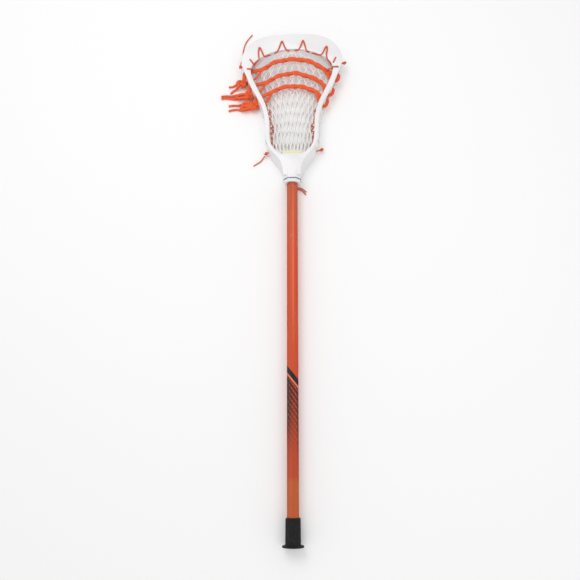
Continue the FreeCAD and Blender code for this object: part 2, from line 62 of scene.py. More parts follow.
Colour = tuple[float, float, float]

MM = 0.001
STICK_LENGTH = 1.046
AXIS_HEIGHT = 0.020         # the shaft's axis above the floor
LACE_Z = -5.0               # lowest the laces come across the mesh, in mm from the axis
GROOVE_S = 708.6            # groove round the collar, where its shade is painted, in mm from the butt
UP = Vector((0.0, 0.0, 1.0))


class Body(str, Enum):
    """Moving bodies of the stick."""

    STICK = "stick"
    CAP = "cap"
    SCREW = "screw"
    BELLY = "belly"


class Slot(str, Enum):
    """Material slots of the record."""

    SHAFT = "shaft_paint"
    CAP = "cap_rubber"
    HEAD = "head_plastic"
    SCREW = "screw_steel"
    FOAM = "stop_foam"
    MESH = "mesh_cord"
    LACE = "lace_orange"
    STRING = "string_orange"


def place(x: float, s: float, z: float) -> Vector:
    """Point in the part's frame, from mm across, along from the butt, and above the axis."""
    return Vector((x * MM, s * MM - STICK_LENGTH / 2, z * MM + AXIS_HEIGHT))


def table_value(table: Sequence[tuple[float, float]], at: float) -> float:
    """Reads a table of (position, value) pairs, straight between its rows.

    Args:
        table: rows in rising order of position.
        at: the position to read.

    Returns:
        The value there, held at the ends.
    """
    if at <= table[0][0]:
        return table[0][1]
    for (p0, v0), (p1, v1) in zip(table, table[1:]):
        if at <= p1:
            share = (at - p0) / (p1 - p0)
            return v0 + (v1 - v0) * share
    return table[-1][1]


# ---------------------------------------------------------------- shader maths
class Wire:
    """One shader value, with operators that add Math nodes."""

    def __init__(self, finish: "Finish", socket: bpy.types.NodeSocket) -> None:
        """Keeps the socket and the finish whose tree it is in."""
        self.finish = finish
        self.socket = socket

    def math(self, operation: str, *others: "Wire | float", clamp: bool = False) -> "Wire":
        """Adds a Math node.

        Args:
            operation: Blender's name of the operation.
            others: its second and third values.
            clamp: whether the result is held between 0 and 1.

        Returns:
            The node's result.
        """
        node = self.finish.node("ShaderNodeMath", {"operation": operation, "use_clamp": clamp},
                                dict(enumerate((self, *others))))
        return Wire(self.finish, node.outputs[0])

    def __add__(self, other: "Wire | float") -> "Wire":
        """Sum."""
        return self.math("ADD", other)

    def __sub__(self, other: "Wire | float") -> "Wire":
        """Difference."""
        return self.math("SUBTRACT", other)

    def __rsub__(self, other: float) -> "Wire":
        """A number less this."""
        return (self * -1.0) + other

    def __mul__(self, other: "Wire | float") -> "Wire":
        """Product."""
        return self.math("MULTIPLY", other)

    def __truediv__(self, other: "Wire | float") -> "Wire":
        """Quotient."""
        return self.math("DIVIDE", other)

    __radd__ = __add__
    __rmul__ = __mul__

    def sine(self) -> "Wire":
        """Sine, in radians."""
        return self.math("SINE")

    def fraction(self) -> "Wire":
        """Part after the decimal point."""
        return self.math("FRACT")

    def size(self) -> "Wire":
        """Value without its sign."""
        return self.math("ABSOLUTE")

    def least(self, other: "Wire | float") -> "Wire":
        """Smaller of the two."""
        return self.math("MINIMUM", other)

    def most(self, other: "Wire | float") -> "Wire":
        """Larger of the two."""
        return self.math("MAXIMUM", other)

    def fade(self, start: float, end: float) -> "Wire":
        """Smooth rise from 0 at start to 1 at end.

        Args:
            start: the value that gives 0.
            end: the value that gives 1, above or below start.

        Returns:
            The faded value.
        """
        node = self.finish.node("ShaderNodeMapRange", {"interpolation_type": "SMOOTHSTEP"},
                                {"Value": self, "From Min": min(start, end),
                                 "From Max": max(start, end)})
        rise = Wire(self.finish, node.outputs[0])
        return rise if start < end else 1.0 - rise

    def band(self, low: float, high: float, soft: float) -> "Wire":
        """1 between low and high, with soft edges."""
        return self.fade(low - soft, low + soft) * self.fade(high + soft, high - soft)


class Finish:
    """A material being built: one principled shader and the nodes that feed it."""

    def __init__(self, name: str) -> None:
        """Starts an empty material with its shader."""
        self.material = bpy.data.materials.new(name)
        self.material.use_nodes = True
        self.tree = self.material.node_tree
        self.tree.nodes.clear()
        self.shader = self.tree.nodes.new("ShaderNodeBsdfPrincipled")
        output = self.tree.nodes.new("ShaderNodeOutputMaterial")
        self.tree.links.new(self.shader.outputs[0], output.inputs[0])
        self.coordinates = self.tree.nodes.new("ShaderNodeTexCoord")

    def node(self, kind: str, settings: Optional[dict] = None,
             inputs: Optional[dict] = None) -> bpy.types.Node:
        """Adds any node.

        Args:
            kind: the node's type.
            settings: its properties, set first.
            inputs: its inputs by name or number, as wires, sockets or plain values.

        Returns:
            The node.
        """
        node = self.tree.nodes.new(kind)
        for name, value in (settings or {}).items():
            setattr(node, name, value)
        for name, value in (inputs or {}).items():
            self.feed(node.inputs[name], value)
        return node

    def feed(self, socket: bpy.types.NodeSocket, value: object) -> None:
        """Links a wire or a socket to an input, or sets a plain value on it.

        Args:
            socket: the input.
            value: what goes into it.
        """
        if isinstance(value, Wire):
            self.tree.links.new(value.socket, socket)
        elif isinstance(value, bpy.types.NodeSocket):
            self.tree.links.new(value, socket)
        elif isinstance(value, tuple) and len(value) == 3 and socket.type == "RGBA":
            socket.default_value = (*value, 1.0)
        else:
            socket.default_value = value

    def set(self, **inputs: object) -> None:
        """Sets inputs of the shader; spaces in their names are written as underscores."""
        for name, value in inputs.items():
            self.feed(self.shader.inputs[name.replace("_", " ")], value)

    def axes(self, source: str = "Object") -> tuple[Wire, Wire, Wire]:
        """Three values of a coordinate output."""
        node = self.node("ShaderNodeSeparateXYZ", inputs={0: self.coordinates.outputs[source]})
        return tuple(Wire(self, output) for output in node.outputs)

    def vector(self, x: "Wire | float", y: "Wire | float", z: "Wire | float" = 0.0
               ) -> bpy.types.NodeSocket:
        """Vector from three values."""
        return self.node("ShaderNodeCombineXYZ", inputs={0: x, 1: y, 2: z}).outputs[0]

    def noise(self, scale: float, detail: float = 3.0, roughness: float = 0.5) -> Wire:
        """Soft noise.

        Args:
            scale: its frequency.
            detail: its octaves.
            roughness: the weight of the finer octaves.

        Returns:
            A value about one half.
        """
        node = self.node("ShaderNodeTexNoise", inputs={
            "Vector": self.coordinates.outputs["Object"], "Scale": scale, "Detail": detail,
            "Roughness": roughness})
        return Wire(self, node.outputs[0])

    def cells(self, scale: float, feature: str = "F1",
              vector: Optional[bpy.types.NodeSocket] = None) -> Wire:
        """Distance in a cell pattern.

        Args:
            scale: its frequency.
            feature: F1 or DISTANCE_TO_EDGE.
            vector: where it is read, the object's own coordinates if left out.

        Returns:
            The distance.
        """
        node = self.node("ShaderNodeTexVoronoi", {"feature": feature}, {
            "Vector": vector or self.coordinates.outputs["Object"], "Scale": scale})
        return Wire(self, node.outputs["Distance"])

    def ramp(self, value: Wire, stops: Sequence[tuple[float, Colour]]) -> bpy.types.NodeSocket:
        """Colour along a value.

        Args:
            value: from 0 to 1.
            stops: (position, colour) pairs.

        Returns:
            The colour's socket.
        """
        node = self.node("ShaderNodeValToRGB", inputs={0: value})
        elements = node.color_ramp.elements
        while len(elements) < len(stops):
            elements.new(1.0)
        for element, (position, colour) in zip(elements, stops):
            element.position = position
            element.color = (*colour, 1.0)
        return node.outputs[0]

    def mix(self, share: "Wire | float", first: object, second: object) -> bpy.types.NodeSocket:
        """Colour between two colours.

        Args:
            share: how much of the second.
            first: a colour or its socket.
            second: a colour or its socket.

        Returns:
            The colour's socket.
        """
        node = self.node("ShaderNodeMix", {"data_type": "RGBA"})
        self.feed(node.inputs[0], share)
        self.feed(node.inputs[6], first)
        self.feed(node.inputs[7], second)
        return node.outputs[2]

    def bump(self, height: Wire, strength: float, distance: float) -> None:
        """Feeds a height to the shader's normal."""
        node = self.node("ShaderNodeBump", inputs={"Strength": strength, "Distance": distance,
                                                   "Height": height})
        self.feed(self.shader.inputs["Normal"], node.outputs[0])


@dataclass(frozen=True)
class ShaftPaint:
    """Satin orange anodising with a dark diagonal graphic near the butt, and painted shade along
    the side faces under it.
    """

    upper: Colour = (0.53, 0.100, 0.036)
    middle: Colour = (0.62, 0.072, 0.016)
    lower: Colour = (0.50, 0.062, 0.016)
    tan: Colour = (0.53, 0.105, 0.020)
    ink: Colour = (0.010, 0.006, 0.005)
    salmon: Colour = (0.86, 0.24, 0.12)
    grain: Colour = (0.30, 0.03, 0.008)
    scuff: Colour = (0.62, 0.30, 0.22)
    slope: float = 1.24
    band_s: float = 305.0
    band_width: float = 12.6
    line_gap: float = 1.4
    line_width: float = 3.2
    painted_length: float = 766.0

    def ink_and_side_shade(self, along: Wire, across: Wire, below: Wire) -> Wire:
        """How dark the woven print below the band is, with painted shade added along the shaft's
        side faces, the left darker.

        Args:
            along: distance from the butt in mm.
            across: distance from the middle in mm.
            below: distance below the band in mm.

        Returns:
            From 0, none, to almost 1.
        """
        lean_a = ((along * 0.088 + across * 0.125).fraction() - 0.5).size() * 2.0
        lean_b = ((along * 0.079 - across * 0.150).fraction() - 0.5).size() * 2.0
        weave = lean_a.fade(0.36, 0.62).most(lean_b.fade(0.60, 0.82) * 0.6)
        # painted shade: the left and right side faces are darkened, the left more
        edge = (across * -1.0).fade(-3.0, 8.5).most(across.fade(6.5, 11.0) * 0.8)
        depth = below.fade(165.0, 20.0)
        return (depth * (weave * 0.72 + 0.20) + edge * below.fade(185.0, 90.0) * 0.46).least(0.94)

    def build(self) -> bpy.types.Material:
        """Builds the material.

        Returns:
            The finished material.
        """
        finish = Finish("shaft_paint")
        x, y, z = finish.axes()
        along, across = (y + STICK_LENGTH / 2) / MM, x / MM
        share = along / self.painted_length
        base = finish.ramp(share, ((0.07, self.tan), (0.146, self.tan), (0.160, self.lower),
                                   (0.42, self.middle), (0.70, self.middle), (0.93, self.upper)))
        below = (along + across * self.slope) * -1.0 + self.band_s
        front = z.fade(AXIS_HEIGHT - 0.002, AXIS_HEIGHT + 0.001)
        half = self.band_width / 2
        band = below.band(-half, half, 0.6) * front
        line_top = half + self.line_gap
        line_end = line_top + self.line_width
        line = below.band(line_top, line_end, 0.7) * front
        # woven print and painted side-face shade together
        ink = self.ink_and_side_shade(along, across, below)
        ink = ink * below.fade(line_end - 0.4, line_end + 1.0) * front
        shade = finish.mix(finish.noise(900.0, 4.0) * 0.16, base, self.grain)
        shade = finish.mix(ink, shade, self.ink)
        shade = finish.mix(line, shade, self.salmon)
        shade = finish.mix(band, shade, self.ink)
        scuff = finish.cells(70.0, "DISTANCE_TO_EDGE", finish.vector(x * 3.0, y * 0.35, z * 3.0))
        scuffs = scuff.fade(0.03, 0.0) * finish.noise(25.0, 3.0).fade(0.52, 0.68)
        shade = finish.mix(scuffs * 0.35, shade, self.scuff)
        finish.set(Base_Color=shade, Metallic=0.25,
                   Roughness=finish.noise(60.0, 4.0) * 0.14 + 0.28 + scuffs * 0.2,
                   Specular_IOR_Level=0.3, Coat_Weight=0.14, Coat_Roughness=0.16)
        finish.bump(finish.noise(2600.0, 2.0), 0.05, 0.0002)
        return finish.material


@dataclass(frozen=True)
class CapRubber:
    """Moulded black rubber, dusty and lightly pitted."""

    dark: Colour = (0.006, 0.006, 0.007)
    worn: Colour = (0.022, 0.021, 0.020)

    def build(self) -> bpy.types.Material:
        """Builds the material."""
        finish = Finish("cap_rubber")
        dust = finish.noise(140.0, 5.0, 0.65).fade(0.46, 0.74)
        finish.set(Base_Color=finish.mix(dust * 0.7, self.dark, self.worn),
                   Roughness=finish.noise(320.0, 3.0) * 0.2 + 0.5, Specular_IOR_Level=0.22)
        finish.bump(finish.noise(1500.0, 4.0, 0.7), 0.25, 0.0004)
        return finish.material


@dataclass(frozen=True)
class HeadPlastic:
    """Milky moulded nylon that lets a little light through, with painted shade in the groove
    round the collar.
    """

    white: Colour = (0.85, 0.84, 0.845)
    shade: Colour = (0.78, 0.765, 0.768)
    # bluish grey painted shade for the groove round the collar
    line: Colour = (0.26, 0.28, 0.42)
    groove_shade_y: float = GROOVE_S * MM - STICK_LENGTH / 2

    def build(self) -> bpy.types.Material:
        """Builds the material."""
        finish = Finish("head_plastic")
        cloud = finish.noise(14.0, 3.0).fade(0.35, 0.7)
        x, y, z = finish.axes()
        scratch = finish.cells(90.0, "DISTANCE_TO_EDGE", finish.vector(x, y * 0.3, z * 2.0))
        rub = scratch.fade(0.02, 0.0) * finish.noise(30.0, 2.0).fade(0.5, 0.66)
        # painted shade: a dark band along the groove round the collar
        painted_groove_shade = (y - self.groove_shade_y).size().fade(0.0015, 0.0009)
        plastic = finish.mix(cloud * 0.5 + rub * 0.3, self.white, self.shade)
        finish.set(Base_Color=finish.mix(painted_groove_shade, plastic, self.line),
                   Roughness=finish.noise(180.0, 3.0) * 0.16 + 0.24 + rub * 0.25,
                   Subsurface_Weight=0.25, Subsurface_Radius=(0.006, 0.005, 0.005),
                   Subsurface_Scale=1.0, Coat_Weight=0.15, Coat_Roughness=0.2)
        finish.bump(finish.noise(700.0, 3.0), 0.08, 0.0003)
        return finish.material


@dataclass(frozen=True)
class Braid:
    """Braided or knitted cord, read from the tube's own unwrapped surface, with painted shade in
    the gaps between its strands and dirt by noise.

    The U of that map runs once round the tube and V is the length in metres.
    """

    name: str
    light: Colour
    valley_shade_and_dirt: Colour
    rib: float = 0.0016
    strands: float = 6.0
    roughness: float = 0.62
    relief: float = 0.0005
    dirt: float = 0.25

    def build(self) -> bpy.types.Material:
        """Builds the material."""
        finish = Finish(self.name)
        around, along, _ = finish.axes("UV")
        turn = 2.0 * math.pi
        step = along * (turn / (self.rib * self.strands))
        left = (around * (turn * self.strands / 2.0) + step * (self.strands / 2.0)).sine()
        right = (around * (turn * self.strands / 2.0) - step * (self.strands / 2.0)).sine()
        weave = (left.most(right) * 0.5) + 0.5
        wear = finish.noise(160.0, 4.0, 0.6).fade(0.4, 0.75)
        # painted shade: the gaps between the strands are darkened; the wear noise adds dirt
        tone = finish.mix(weave.fade(0.95, 0.35) * 0.55 + wear * self.dirt, self.light, self.valley_shade_and_dirt)
        finish.set(Base_Color=tone, Roughness=self.roughness, Sheen_Weight=0.08,
                   Sheen_Roughness=0.5)
        finish.bump(weave + finish.noise(3000.0, 2.0) * 0.3, 0.5, self.relief)
        return finish.material


@dataclass(frozen=True)
class StopFoam:
    """Pale yellow closed-cell foam, with painted shade in its pores."""

    pale: Colour = (0.86, 0.82, 0.56)
    pore_shade: Colour = (0.62, 0.56, 0.30)

    def build(self) -> bpy.types.Material:
        """Builds the material."""
        finish = Finish("stop_foam")
        pores = finish.cells(900.0)
        # painted shade: the pores are darkened
        finish.set(Base_Color=finish.mix(pores.fade(0.5, 0.1) * 0.6, self.pale, self.pore_shade),
                   Roughness=0.85, Subsurface_Weight=0.1)
        finish.bump(pores + finish.noise(400.0) * 0.5, 0.6, 0.0005)
        return finish.material


@dataclass(frozen=True)
class ScrewSteel:
    """Plated steel with turning marks."""

    bright: Colour = (0.56, 0.56, 0.57)
    dull: Colour = (0.28, 0.27, 0.26)

    def build(self) -> bpy.types.Material:
        """Builds the material."""
        finish = Finish("screw_steel")
        stain = finish.noise(500.0, 4.0).fade(0.45, 0.8)
        finish.set(Base_Color=finish.mix(stain * 0.5, self.bright, self.dull),
                   Metallic=1.0, Roughness=finish.noise(900.0, 2.0) * 0.2 + 0.25)
        finish.bump(finish.noise(2400.0, 2.0), 0.15, 0.0001)
        return finish.material


@dataclass(frozen=True)
class FloorPaper:
    """Plain pale floor."""

    pale: Colour = (0.97, 0.97, 0.97)

    def build(self) -> bpy.types.Material:
        """Builds the material."""
        finish = Finish("floor_paper")
        finish.set(Base_Color=self.pale, Roughness=0.7)
        return finish.material


class Finishes:
    """Every finish of the stick, built once."""

    def __init__(self) -> None:
        """Builds the materials."""
        self.shaft = ShaftPaint().build()
        self.rubber = CapRubber().build()
        self.plastic = HeadPlastic().build()
        self.foam = StopFoam().build()
        self.steel = ScrewSteel().build()
        # second colour of each cord: painted shade between its strands, and dirt
        self.mesh = Braid("mesh_cord", (0.93, 0.92, 0.91), (0.74, 0.70, 0.67), rib=0.0012,
                          relief=0.0003, dirt=0.12).build()
        self.lace = Braid("lace_orange", (0.95, 0.13, 0.022), (0.62, 0.05, 0.008), rib=0.0011,
                          strands=10.0).build()
        self.string = Braid("string_orange", (0.80, 0.13, 0.045), (0.36, 0.045, 0.015),
                            rib=0.0010, relief=0.0003).build()
        self.floor = FloorPaper().build()


# ---------------------------------------------------------------- mesh helpers
def add_piece(name: str, mesh: bpy.types.Mesh, material: bpy.types.Material, smooth: bool = True
              ) -> bpy.types.Object:
    """Makes an object of a mesh, at the origin.

    Args:
        name: the piece's name.
        mesh: its mesh, in the part's frame.
        material: its finish.
        smooth: whether its faces are shaded smooth.

    Returns:
        The object.
    """
    piece = bpy.data.objects.new(name, mesh)
    bpy.context.scene.collection.objects.link(piece)
    mesh.materials.clear()
    mesh.materials.append(material)
    if smooth:
        mesh.shade_smooth()
    return piece


def on_stick(piece: bpy.types.Object, slot: Slot, *nodes: str) -> bpy.types.Object:
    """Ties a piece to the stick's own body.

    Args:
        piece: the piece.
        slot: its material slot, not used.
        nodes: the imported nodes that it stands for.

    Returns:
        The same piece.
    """
    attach(piece, Body.STICK.value)
    if nodes:
        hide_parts(*nodes)
    LOG.info("%s", piece.name)
    return piece


def finish_bmesh(work: bmesh.types.BMesh, name: str) -> bpy.types.Mesh:
    """Turns a worked bmesh into a mesh with its normals outward.

    Args:
        work: the bmesh, which is freed.
        name: the mesh's name.

    Returns:
        The mesh.
    """
    bmesh.ops.recalc_face_normals(work, faces=work.faces)
    mesh = bpy.data.meshes.new(name)
    work.to_mesh(mesh)
    work.free()
    return mesh


def smooth_line(points: Sequence[Vector], detail: int = 8) -> list[Vector]:
    """Dense points of a quadratic spline with these control points.

    Args:
        points: control points.
        detail: points for each control point.

    Returns:
        Points along the line.
    """
    curve = bpy.data.curves.new("line", "CURVE")
    curve.dimensions = "3D"
    spline = curve.splines.new("NURBS")
    spline.points.add(len(points) - 1)
    for point, target in zip(spline.points, points):
        point.co = (*target, 1.0)
    spline.order_u = 3
    spline.use_endpoint_u = True
    spline.resolution_u = detail
    holder = bpy.data.objects.new("line", curve)
    mesh = bpy.data.meshes.new_from_object(holder)
    found = [vertex.co.copy() for vertex in mesh.vertices]
    bpy.data.objects.remove(holder)
    bpy.data.meshes.remove(mesh)
    bpy.data.curves.remove(curve)
    return found


@dataclass
class Tube:
    """Round or oval tube along a line, with its length and turn kept as its UV map."""

    line: Sequence[Vector]
    radius: Callable[[float], float]
    flatness: float = 1.0
    sides: int = 10

    def lengths(self) -> list[float]:
        """Distance along the line at each of its points."""
        found = [0.0]
        for before, after in zip(self.line, self.line[1:]):
            found.append(found[-1] + (after - before).length)
        return found

    def rings(self, work: bmesh.types.BMesh, lengths: Sequence[float]
              ) -> list[list[bmesh.types.BMVert]]:
        """Adds a ring at each point of the line, turned as little as possible.

        Args:
            work: the bmesh that takes them.
            lengths: distance along the line at each point.

        Returns:
            The vertices of each ring.
        """
        last = len(self.line) - 1
        side = UP.copy()
        rings = []
        for index, here in enumerate(self.line):
            run = (self.line[min(index + 1, last)] - self.line[max(index - 1, 0)]).normalized()
            side = (side - run * side.dot(run)).normalized()
            radius = self.radius(lengths[index] / lengths[-1])
            turn = Matrix((run.cross(side), side, run)).transposed().to_4x4()
            squeeze = Matrix.Diagonal((radius, radius * self.flatness, radius, 1.0))
            ring = bmesh.ops.create_circle(work, segments=self.sides, radius=1.0,
                                           matrix=Matrix.Translation(here) @ turn @ squeeze)
            rings.append(ring["verts"])
        return rings

    def add_to(self, work: bmesh.types.BMesh) -> None:
        """Adds the tube to a bmesh: rings, bridged one to the next, with both ends closed.

        Args:
            work: the bmesh that takes it.
        """
        layer = work.loops.layers.uv.verify()
        lengths = self.lengths()
        rings = self.rings(work, lengths)
        loops = [list({edge for vert in ring for edge in vert.link_edges}) for ring in rings]
        for index, (before, after) in enumerate(zip(rings, rings[1:])):
            faces = bmesh.ops.bridge_loops(work, edges=loops[index] + loops[index + 1])["faces"]
            corner = {vert: (number, lengths[index + row])
                      for row, ring in enumerate((before, after))
                      for number, vert in enumerate(ring)}
            for face in faces:
                face.smooth = True
                numbers = [corner[loop.vert][0] for loop in face.loops]
                seam = max(numbers) - min(numbers) > 1
                for loop in face.loops:
                    number, length = corner[loop.vert]
                    around = self.sides if seam and number == 0 else number
                    loop[layer].uv = (around / self.sides, length)
        for ring, length in ((rings[0], 0.0), (rings[-1], lengths[-1])):
            for loop in bmesh.ops.contextual_create(work, geom=ring)["faces"][0].loops:
                loop[layer].uv = (0.5, length)


def tubes_mesh(name: str, tubes: Iterable[Tube]) -> bpy.types.Mesh:
    """Makes one mesh of several tubes.

    Args:
        name: the mesh's name.
        tubes: the tubes.

    Returns:
        The mesh.
    """
    work = bmesh.new()
    for tube in tubes:
        tube.add_to(work)
    return finish_bmesh(work, name)


# ---------------------------------------------------------------- camera, light, floor
@dataclass
class Studio:
    """Camera over the stick, soft light and a pale floor."""

    reach: float = 1.193
    over_s: float = 155.4
    pivot_s: float = 905.0
    roll_degrees: float = -0.12
    lean_degrees: float = 3.0
    tilt_degrees: float = 15.0
    lens: float = 38.73
    sensor: float = 36.0
    shift: float = -0.0036
    world_strength: float = 0.73
    floor_half: float = 6.0

    def camera(self) -> None:
        """Places the camera: over the grip, leaning a little right, tilted to the head."""
        lean, tilt = math.radians(self.lean_degrees), math.radians(self.tilt_degrees)
        normal = Vector((math.sin(lean), 0.0, math.cos(lean)))
        right = Vector((math.cos(lean), 0.0, -math.sin(lean)))
        along = Vector((0.0, 1.0, 0.0))
        up = along * math.cos(tilt) + normal * math.sin(tilt)
        back = normal * math.cos(tilt) - along * math.sin(tilt)
        data = bpy.data.cameras.new("camera")
        data.lens, data.sensor_width, data.shift_x = self.lens, self.sensor, self.shift
        camera = bpy.data.objects.new("camera", data)
        bpy.context.scene.collection.objects.link(camera)
        turn = Matrix((right, up, back)).transposed().to_4x4()
        pivot = place(0, self.pivot_s, 0)
        roll = Matrix.Rotation(math.radians(self.roll_degrees), 4, "Z")
        roll = Matrix.Translation(pivot) @ roll @ Matrix.Translation(-pivot)
        camera.matrix_world = roll @ Matrix.Translation(place(0, self.over_s, 0)
                                                        + normal * self.reach) @ turn
        bpy.context.scene.camera = camera

    def lamp(self, name: str, where: Point, target: Point, size: float, power: float) -> None:
        """Adds one soft area lamp.

        Args:
            name: the lamp's name.
            where: its place.
            target: the point it is aimed at.
            size: its diameter.
            power: its strength in watts.
        """
        data = bpy.data.lights.new(name, "AREA")
        data.shape, data.size, data.energy = "DISK", size, power
        lamp = bpy.data.objects.new(name, data)
        bpy.context.scene.collection.objects.link(lamp)
        way = Vector(target) - Vector(where)
        lamp.matrix_world = Matrix.Translation(where) @ way.to_track_quat("-Z", "Y"
                                                                          ).to_matrix().to_4x4()

    def light(self) -> None:
        """Sets the world and the lamps."""
        world = bpy.data.worlds.new("studio")
        world.use_nodes = True
        background = world.node_tree.nodes["Background"]
        background.inputs[0].default_value = (1.0, 1.0, 1.0, 1.0)
        background.inputs[1].default_value = self.world_strength
        bpy.context.scene.world = world
        bpy.context.scene.view_settings.view_transform = "Standard"
        self.lamp("key", (-0.5, 0.9, 1.9), (0.0, 0.2, 0.0), 1.2, 10.0)
        self.lamp("fill", (0.7, -0.5, 1.8), (0.0, 0.0, 0.0), 1.6, 5.0)

    def floor(self, material: bpy.types.Material) -> None:
        """Lays the floor.

        Args:
            material: its finish.
        """
        work = bmesh.new()
        bmesh.ops.create_grid(work, x_segments=1, y_segments=1, size=self.floor_half)
        floor = add_piece("floor", finish_bmesh(work, "floor"), material, smooth=False)


# ---------------------------------------------------------------- free cords
@dataclass
class FreeEnd:
    """One free end of a lace or string, lying on the floor."""

    name: str
    route: Sequence[Point]
    diameter: float
    length: float
    far_end: str = "bare"
    swell: Sequence[tuple[float, float]] = ((0.0, 1.0), (1.0, 1.0))
    flatness: float = 1.0
    sides: int = 12

    def build(self, material: bpy.types.Material, slot: Slot) -> bpy.types.Object:
        """Args:
            material: its finish.
            slot: its material slot.

        Returns:
            The piece.
        """
        line = smooth_line([place(*point) for point in self.route])
        radius = self.diameter / 2
        tube = Tube(line, lambda share: radius * table_value(self.swell, share),
                    sides=self.sides, flatness=self.flatness)
        piece = add_piece(self.name + "_cord", tubes_mesh(self.name, [tube]), material)
        tuple(line[0])
        [tuple(point) for point in line]
        return on_stick(piece, slot, self.name)


class FreeEnds:
    """All the free ends of the laces and strings."""

    LACE = 0.005
    STRING = 0.0026
    LACE_FLATNESS = 0.8
    # half width against distance along: full where it leaves the knot, pulled thin at its tip
    SWELL = ((0.0, 1.12), (0.12, 1.26), (0.30, 1.26), (0.52, 1.0), (0.66, 0.88), (1.0, 0.88))
    LACE_ROUTES = {
        "lace_tail_upper_a": (0.0320, ((-115.0, 951.8, -4.6), (-119.4, 951.6, -11.8),
                                       (-127.6, 948.8, -17.4), (-134.6, 946.2, -17.4),
                                       (-140.8, 946.4, -17.4))),
        "lace_tail_upper_b": (0.0316, ((-114.6, 944.6, -5.6), (-118.6, 941.8, -12.6),
                                       (-125.4, 938.8, -17.4), (-132.0, 935.2, -17.4),
                                       (-136.4, 929.6, -17.4))),
        "lace_tail_middle_a": (0.0546, ((-103.6, 922.2, -15.0), (-111.0, 925.6, -17.4),
                                        (-122.5, 925.4, -17.4), (-134.0, 922.8, -17.4),
                                        (-146.0, 925.0, -17.4), (-157.0, 923.6, -17.4))),
        "lace_tail_middle_b": (0.0540, ((-103.8, 916.0, -15.0), (-111.5, 917.4, -17.4),
                                        (-122.5, 915.6, -17.4), (-134.0, 916.6, -17.4),
                                        (-146.0, 919.4, -17.4), (-157.0, 918.0, -17.4))),
        "lace_tail_lower_a": (0.0514, ((-90.2, 896.2, -15.0), (-98.0, 900.6, -17.4),
                                       (-109.0, 901.6, -17.4), (-120.5, 899.4, -17.4),
                                       (-130.5, 900.8, -17.4), (-140.0, 899.2, -17.4))),
        "lace_tail_lower_b": (0.0505, ((-90.4, 889.6, -15.0), (-98.5, 889.2, -17.4),
                                       (-109.5, 887.2, -17.4), (-121.0, 890.2, -17.4),
                                       (-131.5, 889.4, -17.4), (-140.0, 887.2, -17.4))),
    }
    STRING_ROUTES = {
        "string_tail_top_left": (0.1032, ((-113.8, 986.6, -1.0), (-114.8, 1000.0, -12.0),
                                          (-111.4, 1020.0, -18.6), (-110.6, 1040.5, -18.6),
                                          (-106.0, 1057.5, -18.6), (-98.5, 1070.0, -18.6),
                                          (-90.5, 1079.5, -18.6))),
        "string_tail_bottom_left": (0.0333, ((-59.2, 775.6, -14.6), (-64.0, 770.0, -18.6),
                                             (-69.5, 763.0, -18.6), (-77.0, 759.0, -18.6),
                                             (-83.4, 754.6, -18.6))),
        "throat_tail_a": (0.0305, ((3.0, 699.0, -14.0), (8.4, 701.0, -17.9), (15.0, 702.0, -18.6),
                                   (22.6, 698.0, -18.6), (28.4, 691.6, -18.6))),
        "throat_tail_b": (0.0312, ((2.4, 696.0, -14.2), (7.9, 697.4, -17.9), (15.0, 698.0, -18.6),
                                   (22.4, 693.0, -18.6), (27.6, 685.9, -18.6))),
    }

    def build(self, finishes: Finishes) -> None:
        """Builds every free end.

        Args:
            finishes: the stick's finishes.
        """
        for name, (length, route) in self.LACE_ROUTES.items():
            FreeEnd(name, route, self.LACE, length, swell=self.SWELL,
                    flatness=self.LACE_FLATNESS).build(finishes.lace, Slot.LACE)
        for name, (length, route) in self.STRING_ROUTES.items():
            FreeEnd(name, route, self.STRING, length, sides=8).build(finishes.string, Slot.STRING)


# ---------------------------------------------------------------- shapes shared by the strings
OPENING_EDGE = ((763.0, 20.0), (767.0, 28.0), (776.0, 37.0), (786.0, 43.0), (799.0, 46.2),
                (823.0, 47.5), (851.0, 49.0), (870.0, 52.8), (887.0, 58.0), (905.0, 66.0),
                (929.0, 77.4), (947.0, 85.0), (959.0, 88.6), (970.0, 88.8), (981.0, 83.8),
                (991.0, 73.0), (1000.0, 57.0), (1007.0, 38.0), (1011.0, 18.0))
SCOOP_RIM = ((0.0, 1011.6), (18.0, 1011.0), (38.0, 1007.0), (57.0, 1000.0), (73.0, 991.0),
             (83.8, 981.0), (88.8, 970.0))
OUTER_EDGE = ((764.0, 36.0), (782.0, 50.0), (799.0, 56.0), (823.0, 57.4), (851.0, 59.4),
              (870.0, 63.6), (887.0, 69.6), (905.0, 78.2), (929.0, 90.2), (952.0, 98.4),
              (971.0, 105.0), (986.0, 108.2), (1001.0, 107.0))
WALL_TOP = ((702.0, 18.0), (768.0, 18.0), (800.0, 15.5), (850.0, 14.0), (900.0, 13.0),
            (950.0, 13.5), (985.0, 16.0), (1020.0, 20.5), (1060.0, 25.0))
MESH_HEIGHT = ((773.0, -10.7), (850.0, -13.7), (900.0, -13.7), (940.0, -11.7), (965.0, -7.2),
               (985.0, -0.2), (1000.0, 7.3), (1012.0, 13.3))


def scoop_height(s: float) -> float:
    """Height of the front face of the frame at s."""
    return table_value(WALL_TOP, s)


def mesh_height(s: float) -> float:
    """Height of the middle of the mesh at s, beside the walls."""
    return table_value(MESH_HEIGHT, s)


